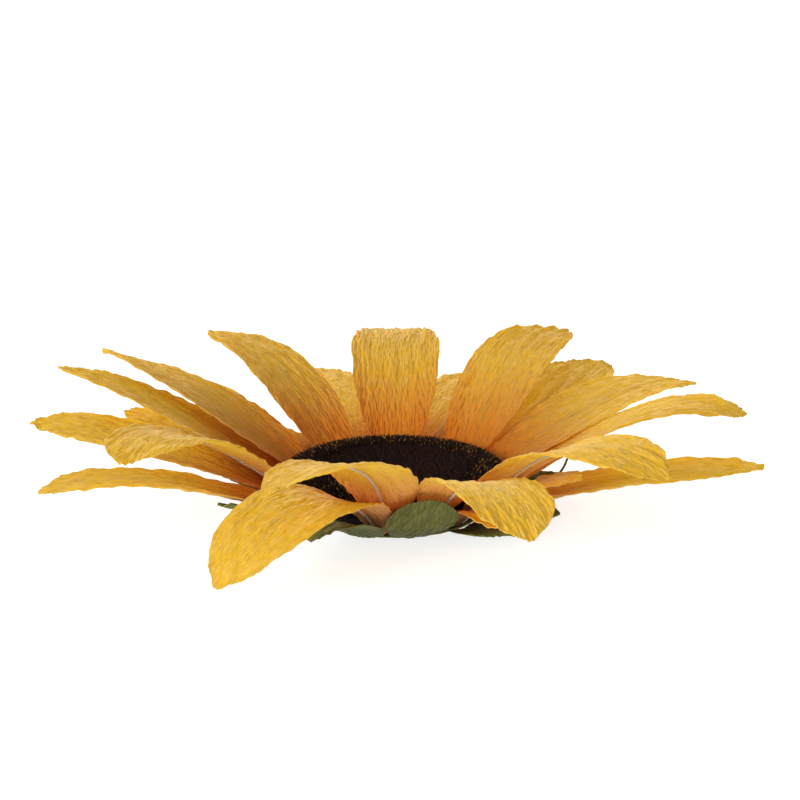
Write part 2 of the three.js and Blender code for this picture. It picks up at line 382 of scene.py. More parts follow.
# %% Petal surface
CUT_RANGE = 250  # mm of the sheet over which a leaf's pattern may start
CUT_WANDER = 0.01  # how far a cut edge wanders, as a share of the half width
ROOT_DEPTH = 0.35  # share of the wrinkles' depth left at the stretched root
FOLD_DEPTH = 1.1  # depth of the slow folds over that of the wrinkles
RUFFLE_NEARNESS = 5  # power of v: the higher, the nearer to the edge the ruffle stays
RUFFLE_STRETCH = 0.8  # below 1 the waves of the edge are longer than the folds
EDGES_APART = 60  # mm on the sheet between the ruffles of a leaf's two edges
RIB_WIDTH = 1.1  # mm
RIB_END = 0.8  # share of the way up where the ridge over the wire is gone
RIB_FADE = 0.2


def leaf_surface(leaf, u, v, rng):
    """Middle surface of a leaf and its normals, for arrays u along it and v from -1 to 1
    across. The section is an arc: angle = curl * v, radius = half width / curl. The relief
    lifts each point along the arc's normal."""
    length = leaf["length"]
    shift = rng.uniform(0, CUT_RANGE, 4)
    wobble = 1 + CUT_WANDER * np.interp(u * length + shift[0], *leaf["ragged"])
    half_width = leaf["width"] / 2 * smooth_through(leaf["outline"], u) * wobble
    curl = np.radians(through_three(leaf["cup"], u))
    _, across, out = paper_axes(leaf, u)
    angle = curl[:, None] * v[None, :]
    bow = (half_width / curl)[:, None]
    side = bow * np.sin(angle)
    rise = bow * (1 - np.cos(angle))
    points = (midline(leaf, u)[:, None] + across[:, None] * side[..., None]
              + out[:, None] * rise[..., None])
    normals = (out[:, None] * np.cos(angle)[..., None]
               - across[:, None] * np.sin(angle)[..., None])
    paper_across = half_width[:, None] * v[None, :]
    paper_along = (u * length)[:, None] + 0 * paper_across
    deep = leaf["depth"] * (ROOT_DEPTH + (1 - ROOT_DEPTH) * u[:, None])
    relief = deep * read_sheet(WRINKLES, paper_across + shift[1], paper_along + shift[2])
    relief += FOLD_DEPTH * deep * read_sheet(
        FOLDS, paper_across + shift[2], paper_along + shift[3])
    edge = np.abs(v[None, :]) ** RUFFLE_NEARNESS * np.sin(math.pi * np.clip(u, 0, 1))[:, None]
    relief += leaf["ruffle"] * edge * read_sheet(
        FOLDS, paper_along * RUFFLE_STRETCH + shift[0],
        EDGES_APART * np.sign(v)[None, :] + paper_along)
    ridge = np.exp(-(paper_across / RIB_WIDTH) ** 2)
    relief += leaf["rib"] * ridge * np.clip((RIB_END - u) / RIB_FADE, 0, 1)[:, None]
    return points + normals * relief[..., None], normals, paper_across, paper_along


# %% A leaf as a closed sheet
LEAF_ROWS = 132
LEAF_COLUMNS = 72
TIP_CROWDING = 1.12  # above 1 draws the rows together towards the tip
EDGE_CROWDING = 2.3  # the nearer to 2, the closer the columns at the edges
PAPER_STEP = 120  # mm across the paper from one leaf's pattern to the next


def leaf_piece(name, replaced, leaf, material, rng, number):
    """A leaf of paper as a closed sheet, with its place on the paper as its UV map. It stands
    for the solid named replaced. The rows crowd towards the tip, u = 1 - (1 - share)^crowding,
    and the columns towards the edges, v = sin(share * pi / crowding) / sin(pi / crowding)."""
    u = 1 - (1 - np.linspace(0, 1, LEAF_ROWS)) ** TIP_CROWDING
    v = (np.sin(np.linspace(-1, 1, LEAF_COLUMNS) * math.pi / EDGE_CROWDING)
         / math.sin(math.pi / EDGE_CROWDING))
    points, normals, across, along = leaf_surface(leaf, u, v, rng)
    half = normals * PAPER_THICKNESS / 2
    both = np.concatenate([(points + half).reshape(-1, 3), (points - half).reshape(-1, 3)])
    across = across + PAPER_STEP * number
    uv = np.tile(np.stack([across, along], axis=-1).reshape(-1, 2), (2, 1))
    count = points.shape[0] * points.shape[1]
    values = {
        "under": np.repeat([0.0, 1.0], count),
        "tone": np.full(2 * count, rng.uniform(-1, 1))}
    piece = piece_from(name, both, shell_faces(LEAF_ROWS, LEAF_COLUMNS), material,
                       values=values, uv=uv)
    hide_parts(replaced)
    return piece, points, normals


print("a leaf's grid:", LEAF_ROWS, "by", LEAF_COLUMNS, "points on each face")

# %% [markdown]
# ## Golden crepe paper
# Heavy crepe paper is soft, matt and full of tiny air gaps: it scatters light in all
# directions, lets a good part through, and glows deeper yellow where it is lit from behind.
# So a matt surface is mixed with a translucent one. The maker rubbed orange chalk into the
# roots, which fades out over the first few centimetres. The finest wrinkles, about 1.4 mm
# apart, are left to the bump, and a painted highlight, a pale cream, lies on their ridge tops.

# %% Petal paper
MOTTLE_SIZE = (11, 45)  # mm across and along, of the paper's slow lighter and darker patches
CREPE_CELL = (1.4, 5.8)  # mm, of one fine wrinkle
FIBRE_SIZE = (0.25, 1.2)  # mm, drawn coarser than real fibres so that they show
BEND = 1.2 * MM  # how far the wrinkles stray sideways
LEAF_TONE = 0.16  # how much lighter or darker one leaf is than the next
STAIN_RAGGED = -30 * MM  # how far the stain's end runs up and down the paper
STAIN_START = -12 * MM  # where the stain starts to fade, moved down by its ragged end
FIBRE_HEIGHT = 0.12  # of a fine wrinkle's
BUMP_HEIGHT = 1.4 * MM


def per_size(size):
    """The scale of a Mapping node that makes one step of a pattern this many mm in size."""
    return (1 / (size[0] * MM), 1 / (size[1] * MM), 1)


def crepe_paper(name, light, dark, crest_highlight, root, root_under, glow, through, root_end):
    """Crepe paper with a stained root and a painted highlight, a paler colour laid on the ridge
    tops of its fine wrinkles. The colours are sRGB hex; through is the share of light that
    passes, and root_end the length of the stain in metres."""
    material = new_material(name)
    uv = add_node(material, "ShaderNodeUVMap", {"uv_map": "paper"}).outputs["UV"]
    slow = add_node(material, "ShaderNodeMapping", {"Scale": per_size(MOTTLE_SIZE)}, {
        "Vector": uv})
    mottle = add_node(material, "ShaderNodeTexNoise", {
        "Scale": 1.0, "Detail": 3.0, "Roughness": 0.6}, {"Vector": slow.outputs[0]})
    bend = add_node(material, "ShaderNodeVectorMath", {
        "operation": "MULTIPLY_ADD", 1: (BEND, 0.0, 0.0)}, {0: mottle.outputs["Color"], 2: uv})
    cell_scale = add_node(material, "ShaderNodeMapping", {"Scale": per_size(CREPE_CELL)}, {
        "Vector": bend.outputs[0]})
    cells = add_node(material, "ShaderNodeTexVoronoi", {
        "feature": "SMOOTH_F1", "Scale": 1.0, "Smoothness": 0.35, "Randomness": 0.9}, {
        "Vector": cell_scale.outputs[0]})
    ridges = add_node(material, "ShaderNodeMath", {"operation": "SUBTRACT", 0: 1.0}, {
        1: cells.outputs["Distance"]})
    fibre_scale = add_node(material, "ShaderNodeMapping", {"Scale": per_size(FIBRE_SIZE)}, {
        "Vector": uv})
    fibres = add_node(material, "ShaderNodeTexNoise", {"Scale": 1.0, "Detail": 2.0}, {
        "Vector": fibre_scale.outputs[0]})
    along = add_node(material, "ShaderNodeSeparateXYZ", links={"Vector": uv}).outputs["Y"]
    ragged = add_node(material, "ShaderNodeMath", {
        "operation": "MULTIPLY_ADD", 1: STAIN_RAGGED}, {0: mottle.outputs["Fac"], 2: along})
    stain = add_node(material, "ShaderNodeMapRange", {
        "interpolation_type": "SMOOTHSTEP", "From Min": STAIN_START, "From Max": root_end,
        "To Min": 1.0, "To Max": 0.0}, {"Value": ragged.outputs[0]})
    tone = add_node(material, "ShaderNodeAttribute", {"attribute_name": "tone"}).outputs["Fac"]
    under = add_node(material, "ShaderNodeAttribute", {"attribute_name": "under"}).outputs["Fac"]
    shade = add_node(material, "ShaderNodeMath", {"operation": "MULTIPLY_ADD", 1: LEAF_TONE}, {
        0: tone, 2: mottle.outputs["Fac"]})
    body = add_node(material, "ShaderNodeMix", {
        "data_type": "RGBA", MIX_A: linear(dark), MIX_B: linear(light)}, {0: shade.outputs[0]})
    # Painted highlight: the higher a fine wrinkle's ridge, the more of the paler highlight colour
    # is laid on it, up to a little over half.
    lit = add_node(material, "ShaderNodeMapRange", {
        "From Min": 0.35, "From Max": 0.95, "To Min": 0.0, "To Max": 0.55}, {
        "Value": ridges.outputs[0]})
    highlighted_crests = add_node(material, "ShaderNodeMix", {
        "data_type": "RGBA", MIX_B: linear(crest_highlight)}, {
        0: lit.outputs[0], MIX_A: body.outputs[MIX_OUT]})
    stain_colour = add_node(material, "ShaderNodeMix", {
        "data_type": "RGBA", MIX_A: linear(root), MIX_B: linear(root_under)}, {0: under})
    stained = add_node(material, "ShaderNodeMix", {"data_type": "RGBA"}, {
        0: stain.outputs[0], MIX_A: highlighted_crests.outputs[MIX_OUT], MIX_B: stain_colour.outputs[MIX_OUT]})
    height = add_node(material, "ShaderNodeMath", {
        "operation": "MULTIPLY_ADD", 1: FIBRE_HEIGHT}, {
        0: fibres.outputs["Fac"], 2: ridges.outputs[0]})
    bump = add_node(material, "ShaderNodeBump", {"Strength": 1.0, "Distance": BUMP_HEIGHT}, {
        "Height": height.outputs[0]})
    matt = add_node(material, "ShaderNodeBsdfPrincipled", {
        "Roughness": 0.72, "Specular IOR Level": 0.3, "Sheen Weight": 0.12,
        "Sheen Roughness": 0.4, "Sheen Tint": linear("#fff0cc")}, {
        "Base Color": stained.outputs[MIX_OUT], "Normal": bump.outputs[0]})
    glow_colour = add_node(material, "ShaderNodeMix", {
        "data_type": "RGBA", MIX_A: linear(glow)}, {
        0: stain.outputs[0], MIX_B: stain_colour.outputs[MIX_OUT]})
    see = add_node(material, "ShaderNodeBsdfTranslucent", links={
        "Color": glow_colour.outputs[MIX_OUT], "Normal": bump.outputs[0]})
    sheet = add_node(material, "ShaderNodeMixShader", {"Fac": through}, {
        1: matt.outputs[0], 2: see.outputs[0]})
    return finish_material(material, sheet.outputs[0])


# The pale colour given for each paper's wrinkle ridge tops is a painted highlight.
GOLDEN_PAPER = crepe_paper(
    "golden_crepe_paper", light="#e9c644", dark="#deb636", crest_highlight="#f7e294",
    root="#e2800f", root_under="#e3a468", glow="#ffe24c", through=0.5, root_end=0.068)
GREEN_PAPER = crepe_paper(
    "moss_green_crepe_paper", light="#70742c", dark="#4c501a", crest_highlight="#979850",
    root="#4c501a", root_under="#4c501a", glow="#b0b244", through=0.15, root_end=0.01)
print("paper materials:", GOLDEN_PAPER.name, GREEN_PAPER.name)

# %% [markdown]
# ## Petal wires
# Florist's wire comes wound in a narrow strip of paper. Each petal has one glued down its
# back, from the root to nearly three quarters of the way up. It is a tube carried along the
# petal's own middle line, just under the lower face.

# %% Wire finish
SEAM_SIZE = (3.8, 1.5)  # mm: once round the wire, and half the way from seam to seam
SEAM_BANDS = 0.32  # bands of a wave of this scale are 2 pi / (10 * 0.32), about 2, apart
SEAM_HEIGHT = 0.1 * MM


def wound_paper(name, colour, groove):
    """Paper strip wound on wire: matt, with a fine slanting seam about every 3 mm."""
    material = new_material(name)
    uv = add_node(material, "ShaderNodeUVMap", {"uv_map": "paper"}).outputs["UV"]
    scaled = add_node(material, "ShaderNodeMapping", {"Scale": per_size(SEAM_SIZE)}, {
        "Vector": uv})
    seams = add_node(material, "ShaderNodeTexWave", {
        "wave_type": "BANDS", "bands_direction": "DIAGONAL", "Scale": SEAM_BANDS,
        "Distortion": 0.6}, {"Vector": scaled.outputs[0]})
    colour_mix = add_node(material, "ShaderNodeMix", {
        "data_type": "RGBA", MIX_A: linear(groove), MIX_B: linear(colour)}, {
        0: seams.outputs["Fac"]})
    bump = add_node(material, "ShaderNodeBump", {"Strength": 0.2, "Distance": SEAM_HEIGHT}, {
        "Height": seams.outputs["Fac"]})
    matt = add_node(material, "ShaderNodeBsdfPrincipled", {
        "Roughness": 0.6, "Specular IOR Level": 0.35}, {
        "Base Color": colour_mix.outputs[MIX_OUT], "Normal": bump.outputs[0]})
    return finish_material(material, matt.outputs[0])


CREAM_WIRE = wound_paper("cream_paper_wound_wire", "#d2cbbb", "#c2baa8")
GREEN_WIRE = wound_paper("dark_green_paper_wound_wire", "#46532a", "#2c351b")
print("wire finishes:", CREAM_WIRE.name, GREEN_WIRE.name)

# %% Tube along a path
WIRE_RADIUS = 0.6
WIRE_SIDES = 10
ASIDE = np.array([0.31, 0.17, 0.94])  # a direction that no wire here runs along


def tube(name, path, radius, material, replaced):
    """A round tube along an (n, 3) path: circles square to the path, joined ring to ring, with
    a fan of triangles over each end."""
    forward = np.gradient(path, axis=0)
    forward /= np.linalg.norm(forward, axis=1, keepdims=True)
    side = np.cross(forward, ASIDE)
    side /= np.linalg.norm(side, axis=1, keepdims=True)
    other = np.cross(forward, side)
    angle = np.linspace(0, 2 * math.pi, WIRE_SIDES, endpoint=False)
    ring = (side[:, None] * np.cos(angle)[None, :, None]
            + other[:, None] * np.sin(angle)[None, :, None])
    rings = path[:, None] + radius * ring
    length = np.concatenate([[0], np.cumsum(np.linalg.norm(np.diff(path, axis=0), axis=1))])
    around = np.broadcast_to(angle * radius, rings.shape[:2])
    uv = np.stack([around, np.broadcast_to(length[:, None], rings.shape[:2])], axis=-1)
    points = np.concatenate([rings.reshape(-1, 3), path[:1], path[-1:]])
    uv = np.concatenate([uv.reshape(-1, 2), [[0, 0], [0, length[-1]]]])
    piece = piece_from(name, points, capped_faces(len(rings), WIRE_SIDES), material, uv=uv)
    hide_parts(replaced)
    return piece


# %% [markdown]
# ## The two rings of petals
# No two petals are bent alike, so each has its own line of settings: where its root stands,
# in degrees around the head, and its climb, turn and roll at the root, middle and tip.
# Some that stand behind others are cut smaller.

# %% Petal settings
INNER_PETALS = [
    dict(at=25, lift=(24, 19, -18), swing=(4, 5, 0), twist=(0, 0, -10), up=0.5),
    dict(at=50, lift=(37, 31, -14), swing=(4, 10, -10), short=14, narrow=2),
    dict(at=90, lift=(38, 27, -22), short=14),
    dict(at=126, lift=(38, 27, -10), swing=(-8, 2, 6), twist=(0, 10, 10), short=10,
         narrow=2),
    dict(at=153, lift=(35, 23, 3), swing=(0, -2, -5), twist=(0, 10, 26)),
    dict(at=168, lift=(28, 27, 8), twist=(0, 8, 12), up=-1.6),
    dict(at=192, lift=(38, 27, -22), swing=(8, 36, 58), short=6),
    dict(at=265, lift=(45, 28, -27), swing=(3, -20, -46), twist=(0, 4, 20), short=4),
    dict(at=293, lift=(44, 18, -38), swing=(0, -3, 0), twist=(0, -6, 0), short=14, narrow=2, up=1),
    dict(at=322, lift=(43, 26, -30), swing=(-3, -13, 0), up=0.5),
]
OUTER_PETALS = [
    dict(at=2, lift=(26, 24, -24), swing=(0, 5, 5), twist=(0, -13, 10), up=2),
    dict(at=23, lift=(18, 18, 4), swing=(3, 6, 6), twist=(0, -18, -18), short=30, narrow=26),
    dict(at=42, lift=(25, 17, 0), swing=(5, 12, 14), short=4, up=-0.5),
    dict(at=74, lift=(17, 8, -8)),
    dict(at=107, lift=(17, 10, -8)),
    dict(at=135, lift=(14, 6, 0), short=35, up=-1.1),
    dict(at=154, lift=(22, 17, 0), swing=(0, 3, 5), short=30, narrow=8, up=-1),
    dict(at=183, lift=(25, 19, 0), swing=(0, -5, -5)),
    dict(at=205, lift=(18, 14, -18), swing=(-4, -12, -12), twist=(0, 7, 4), short=6,
         up=-0.5),
    dict(at=260, lift=(50, 6, -54), swing=(-14, -25, -46), twist=(0, -4, -6), short=3, narrow=2,
         up=-1),
    dict(at=312, lift=(46, 12, -10), swing=(0, -16, -12), short=80, narrow=14, up=-0.5),
    dict(at=336, lift=(42, 26, 10), swing=(-7, -9, -8), short=85, narrow=18, up=0.6),
    dict(at=352, lift=(14, 12, 0), swing=(0, 3, 5), twist=(0, -5, -5), short=4, up=-1),
]


def fill_in(settings, length, width, cup, radius, rise, **rest):
    """A leaf's whole description: its own settings over the ones that its ring shares."""
    leaf = dict(swing=(0, 0, 0), twist=(0, 0, 0), cup=cup, **rest)
    leaf.update(settings)
    leaf["length"] = length - settings.get("short", 0)
    leaf["width"] = width - settings.get("narrow", 0)
    leaf["radius"] = radius
    leaf["rise"] = rise + settings.get("up", 0)
    return leaf


# %% Make the petals
PETAL_WRINKLES = 0.33  # mm, depths of the wrinkles, the edge's ruffle and the ridge on the wire
PETAL_RUFFLE = 0.2
PETAL_RIB = 0.3
RAGGED_REACH = 520  # mm of cut edge that all leaves draw their own stretch from
RAGGED_STEP = 6.0  # mm between snips
WIRE_START = 0.03  # shares of the rows of a petal
WIRE_END = 0.7
WIRE_RINGS = 90
WIRE_STAND_OFF = 0.85  # of its radius: the wire is pressed a little into the paper

rng = np.random.default_rng(21)
ragged_places = np.arange(0, RAGGED_REACH, RAGGED_STEP)
RAGGED_EDGE = (ragged_places, rng.standard_normal(len(ragged_places)))

number = 0
for ring, settings_list, rise in (("inner", INNER_PETALS, INNER_ROOT_RISE),
                                  ("outer", OUTER_PETALS, OUTER_ROOT_RISE)):
    for k, settings in enumerate(settings_list):
        tag = f"{ring}_{k + 1:02d}"
        leaf = fill_in(settings, PETAL_LENGTH, PETAL_WIDTH, PETAL_CUP, PETAL_ROOT_RADIUS, rise,
                       outline=PETAL_OUTLINE, ragged=RAGGED_EDGE, depth=PETAL_WRINKLES,
                       ruffle=PETAL_RUFFLE, rib=PETAL_RIB)
        piece, surface, normals = leaf_piece(
            f"paper_petal_{tag}", f"petal_{tag}", leaf, GOLDEN_PAPER, rng, number)
        middle = LEAF_COLUMNS // 2
        rows = np.linspace(WIRE_START, WIRE_END, WIRE_RINGS) * (LEAF_ROWS - 1)
        centre = (surface[:, middle - 1] + surface[:, middle]) / 2
        normal = (normals[:, middle - 1] + normals[:, middle]) / 2
        under = centre - normal * (PAPER_THICKNESS / 2 + WIRE_RADIUS * WIRE_STAND_OFF)
        path = np.stack([np.interp(rows, np.arange(LEAF_ROWS), under[:, c]) for c in range(3)],
                        axis=-1)
        wire = tube(f"wound_wire_{tag}", path, WIRE_RADIUS, CREAM_WIRE, f"wire_{tag}")
        number += 1
print("petals:", number, "with", len(piece.data.polygons), "faces each")

# %% [markdown]
# ## Sepals and the disc under the head
# The sepals are short broad leaves of moss-green crepe paper with a shallower wrinkle. They
# use the petal's formula with their own sizes. The head is closed underneath by a flat disc
# of the same paper, which is what it rests on.

# %% Sepals
SEPAL_LENGTH = 56
SEPAL_WIDTH = 38
SEPAL_ROOT_RADIUS = 49
SEPAL_ROOT_RISE = 1.2
SEPAL_CUP = (20, 15, 10)
SEPAL_WRINKLES = 0.22
SEPAL_RUFFLE = 0.25
# A sepal's outline starts broad, because it wraps the foot of the head.
SEPAL_OUTLINE = np.array([
    (0, 0.66), (0.15, 0.82), (0.38, 1.0), (0.62, 0.93), (0.82, 0.68), (0.94, 0.36), (1, 0.08)])
SEPALS = [
    dict(at=20, lift=(6, 5, 4)),
    dict(at=68, lift=(6, 4, 3)),
    dict(at=118, lift=(5, 4, 3)),
    dict(at=170, lift=(15, 21, 18), narrow=8),
    dict(at=213, lift=(13, 20, 14), swing=(0, -12, -18), twist=(0, 16, 16)),
    dict(at=249, lift=(32, 24, -75), swing=(0, -22, -45), short=10, up=-0.5),
    dict(at=281, lift=(23, 47, 44), swing=(0, 12, 26), twist=(0, -10, -24), short=12, narrow=1),
    dict(at=315, lift=(10, 10, 5), swing=(0, 5, 8), short=18, narrow=4),
    dict(at=346, lift=(6, 5, 4), short=16, narrow=6),
]
for k, settings in enumerate(SEPALS):
    leaf = fill_in(settings, SEPAL_LENGTH, SEPAL_WIDTH, SEPAL_CUP, SEPAL_ROOT_RADIUS,
                   SEPAL_ROOT_RISE, outline=SEPAL_OUTLINE, ragged=RAGGED_EDGE,
                   depth=SEPAL_WRINKLES, ruffle=SEPAL_RUFFLE, rib=0.0)
    piece, _, _ = leaf_piece(
        f"paper_sepal_{k + 1}", f"sepal_{k + 1}", leaf, GREEN_PAPER, rng, number + k)
print("sepals:", len(SEPALS))

# %% Backing disc
TURN_STEPS = 160
CENTRE_HOLE = 1.0  # radius of the first ring of points; a fan of triangles closes it
DISC_RINGS = 60
RIM_ROUND = 0.4  # how far in from its faces and its edge the disc's rim is rounded off
CORNER = 0.1  # the same at the rings between, so that the rim bulges
DISC_RELIEF = 0.12  # shallow, because the disc's paper is pressed flat
DISC_PAPER = (900, 100)  # where on the paper the disc is cut, past all the leaves

_, backing_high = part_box("backing_disc")
disc_radius = backing_high.x / MM
disc_top = backing_high.z / MM
spokes = np.linspace(CENTRE_HOLE, disc_radius - RIM_ROUND, DISC_RINGS)
radii = np.concatenate([spokes, disc_radius + np.array([-CORNER, 0, 0, -CORNER]), spokes[::-1]])
heights = np.concatenate([
    0 * spokes, [CORNER, RIM_ROUND, disc_top - RIM_ROUND, disc_top - CORNER],
    0 * spokes + disc_top])
turn = np.linspace(0, 2 * math.pi, TURN_STEPS, endpoint=False)
disc = turned(radii, heights, turn)
disc_relief = DISC_RELIEF * np.abs(read_sheet(WRINKLES, disc[..., 0], disc[..., 1]))
disc[..., 2] += np.where(heights[:, None] > disc_top / 2, -disc_relief, disc_relief)
disc_points = np.concatenate([disc.reshape(-1, 3), [[0, 0, CORNER], [0, 0, disc_top - CORNER]]])
disc_piece = piece_from("paper_backing_disc", disc_points, capped_faces(len(radii), len(turn)),
                        GREEN_PAPER, uv=disc_points[:, :2] + DISC_PAPER)
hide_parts("backing_disc")
print("backing disc:", round(2 * disc_radius), "mm across")

# %% [markdown]
# ## The rolled fringe
# The centre is two long strips of paper, cut into a fine fringe along one edge and rolled up.
# The inner roll is almost black, and its strands stand straight, so its top looks like
# velvet. The outer roll is brown with gold tips, and its strands lean outwards more and more
# towards the rim. All strands are the same soft paper, so one finish serves both rolls: it
# takes a shade of its own for each strand, and gilds the tips of a share of them.

# %% Fringe paper
TIP_START = 0.87  # shares of the way up a strand where its tip's colour begins and is full
TIP_FULL = 0.94


def fringe_paper(name, dark, light, tip, gold_share):
    """Cut paper fringe, matt as blotting paper. Each strand has its own shade between dark
    and light, and a share of them, gold_share, have coloured tips."""
    material = new_material(name)
    shade = add_node(material, "ShaderNodeAttribute", {"attribute_name": "shade"}).outputs["Fac"]
    along = add_node(material, "ShaderNodeAttribute", {"attribute_name": "along"}).outputs["Fac"]
    gold = add_node(material, "ShaderNodeAttribute", {"attribute_name": "gold"}).outputs["Fac"]
    chosen = add_node(material, "ShaderNodeMath", {"operation": "LESS_THAN", 1: gold_share}, {
        0: gold})
    end = add_node(material, "ShaderNodeMapRange", {
        "From Min": TIP_START, "From Max": TIP_FULL}, {"Value": along})
    tipped = add_node(material, "ShaderNodeMath", {"operation": "MULTIPLY"}, {
        0: chosen.outputs[0], 1: end.outputs[0]})
    base = add_node(material, "ShaderNodeMix", {
        "data_type": "RGBA", MIX_A: linear(dark), MIX_B: linear(light)}, {0: shade})
    colour = add_node(material, "ShaderNodeMix", {"data_type": "RGBA", MIX_B: linear(tip)}, {
        0: tipped.outputs[0], MIX_A: base.outputs[MIX_OUT]})
    matt = add_node(material, "ShaderNodeBsdfPrincipled", {
        "Roughness": 0.85, "Specular IOR Level": 0.15}, {"Base Color": colour.outputs[MIX_OUT]})
    return finish_material(material, matt.outputs[0])


CORE_FRINGE = fringe_paper("near_black_paper_fringe", "#170b09", "#2b1713", "#3a211a", 0.5)
RING_FRINGE = fringe_paper("brown_paper_fringe_gold_tips", "#190d0a", "#301b0e", "#a67829", 0.08)
print("fringe finishes:", CORE_FRINGE.name, RING_FRINGE.name)

# %% [markdown]
# ## The rolls and their strands
# Below the cuts, a rolled strip is solid paper, so each roll is a turned body: a profile of
# radii and heights, carried round the middle. It closes the space between the strands.
# Above it stand thousands of strands. They are made all at once as thin three-sided spikes of
# 14 to 20 faces, because a rounder strand would look the same from here and cost far more.

# %% Roll bodies
ROLL_ROUND = 0.5  # rounding of the inner roll's corners
ROLL_PLAY = 0.3  # between the inner roll and the hole of the outer one
RING_FOOT_RADIUS = 45
RING_WAIST = (46.5, 13)  # radius and height from which the outer roll flares out
RING_SHOULDER = (4, 2)  # how far its body reaches out past the waist, at its shoulder and top
SHOULDER_RISE = 1  # from the shoulder to the top
FRINGE_DEPTH = 8  # how far the strands stand above the solid part of the roll

core_low, core_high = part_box("fringe_core")
_, ring_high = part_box("fringe_ring")
core_radius = core_high.x / MM
core_top = core_high.z / MM
ring_radius = ring_high.x / MM
ring_top = ring_high.z / MM
foot = core_low.z / MM
core_shelf = core_top - FRINGE_DEPTH
ring_shelf = ring_top - FRINGE_DEPTH

body_radii = np.array([
    CENTRE_HOLE, core_radius - ROLL_ROUND, core_radius, core_radius, core_radius - ROLL_ROUND,
    CENTRE_HOLE])
body_heights = np.array([
    foot, foot, foot + ROLL_ROUND, core_shelf - ROLL_ROUND, core_shelf, core_shelf])
core_body = turned(body_radii, body_heights, turn).reshape(-1, 3)
core_middle = [[0, 0, foot], [0, 0, core_shelf]]
core_roll = piece_from("core_roll", np.concatenate([core_body, core_middle]),
                       capped_faces(len(body_radii), len(turn)), CORE_FRINGE)

hole = core_radius + ROLL_PLAY
ring_profile = np.array([
    (hole, foot), (RING_FOOT_RADIUS, foot), RING_WAIST,
    (RING_WAIST[0] + RING_SHOULDER[0], ring_shelf),
    (RING_WAIST[0] + RING_SHOULDER[1], ring_shelf + SHOULDER_RISE),
    (hole, ring_shelf + SHOULDER_RISE)])
ring_body = turned(ring_profile[:, 0], ring_profile[:, 1], turn)
ring_faces = grid_faces(*ring_body.shape[:2], join_rows=True, join_columns=True)[:, ::-1]
ring_roll = piece_from("ring_roll", ring_body.reshape(-1, 3), ring_faces, RING_FRINGE)
print("rolls:", round(2 * core_radius), "and", round(2 * ring_radius), "mm across")

# %% Strands
GOLDEN_ANGLE = math.radians(137.508)
STRAND_SIDES = 3
STRAND_FLATNESS = 0.5  # a cut strand is about half as thick as it is wide
STRAND_TAPER = 0.45  # share of its thickness that it loses by the tip


def fringe_piece(name, roots, bends, tips, places, thick, material, rng):
    """Strands as three-sided spikes. Each middle line is a quadratic curve, root to tip by way
    of its bend: (1-t)^2 root + 2t(1-t) bend + t^2 tip. places are the shares t of its rings."""
    count = len(roots)
    t = np.array(places)[None, :, None]
    path = ((1 - t) ** 2 * roots[:, None] + 2 * t * (1 - t) * bends[:, None]
            + t ** 2 * tips[:, None])
    way = tips - roots
    way /= np.linalg.norm(way, axis=1, keepdims=True)
    turned_by = rng.uniform(0, 2 * math.pi, count)
    first = np.cross(way, np.stack([np.cos(turned_by), np.sin(turned_by), 0 * turned_by], axis=-1))
    first /= np.linalg.norm(first, axis=1, keepdims=True)
    second = np.cross(way, first)
    angle = 2 * math.pi * np.arange(STRAND_SIDES) / STRAND_SIDES
    section = (first[:, None] * np.cos(angle)[None, :, None]
               + STRAND_FLATNESS * second[:, None] * np.sin(angle)[None, :, None])
    taper = thick * (1 - STRAND_TAPER * np.array(places))[None, :, None, None]
    points = path[:, :, None] + taper * section[:, None]
    rings = len(places)
    sides = grid_faces(rings, STRAND_SIDES, join_columns=True)[:, ::-1]
    top = STRAND_SIDES * (rings - 1)
    strand = np.concatenate([
        sides[:, [0, 1, 2]], sides[:, [0, 2, 3]], [[2, 1, 0], [top, top + 1, top + 2]]])
    per_point = STRAND_SIDES * rings
    faces = (np.arange(count)[:, None, None] * per_point + strand).reshape(-1, 3)
    values = {
        "along": np.tile(np.repeat(places, STRAND_SIDES), count),
        "shade": np.repeat(rng.uniform(0, 1, count), per_point),
        "gold": np.repeat(rng.uniform(0, 1, count), per_point)}
    return piece_from(name, points.reshape(-1, 3), faces, material, values=values, smooth=False)


def spread_out(count, inner, outer, rng, jitter):
    """Places of strands over a ring, evenly by area: radius^2 grows in equal steps while the
    angle turns by the golden angle, and each is then moved a little."""
    k = np.arange(count) + 0.5
    radius = np.sqrt(inner ** 2 + k / count * (outer ** 2 - inner ** 2))
    angle = k * GOLDEN_ANGLE
    radius = np.clip(radius + rng.normal(0, jitter, count), inner, outer)
    return radius, angle + rng.normal(0, jitter, count) / radius


def polar(radius, angle, height):
    """Points in mm from a radius, an angle and a height."""
    return np.stack([radius * np.cos(angle), radius * np.sin(angle), height + 0 * radius], axis=-1)


# %% Core fringe
CORE_STRANDS = 6500
CORE_MARGIN = 0.3  # from the outermost strands' roots to the roll's side
CORE_JITTER = 0.35
CORE_TIP_DROP = 0.4  # of the tips below the roll's full height, and how unevenly they are cut
CORE_TIP_SPREAD = 0.3
CORE_TIP_LIMITS = (-0.9, 0.5)
CORE_LEAN = 0.5
CORE_THICKNESS = 0.4
CORE_PLACES = (0, 0.6, 1)  # where along a strand its rings of points are
ROOT_SINK = 0.5  # how deep the strands start inside the body of the roll

radius, angle = spread_out(CORE_STRANDS, 0, core_radius - CORE_MARGIN, rng, CORE_JITTER)
height = (core_top - CORE_TIP_DROP
          + rng.normal(0, CORE_TIP_SPREAD, CORE_STRANDS).clip(*CORE_TIP_LIMITS))
lean = rng.normal(0, CORE_LEAN, (CORE_STRANDS, 2))
core_tips = polar(radius, angle, height)
core_tips[:, :2] += lean
core_roots = polar(radius, angle, core_shelf - ROOT_SINK)
core_fringe = fringe_piece("core_fringe", core_roots, (core_roots + core_tips) / 2, core_tips,
                           CORE_PLACES, CORE_THICKNESS, CORE_FRINGE, rng)
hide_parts("fringe_core")
print("core strands:", CORE_STRANDS)

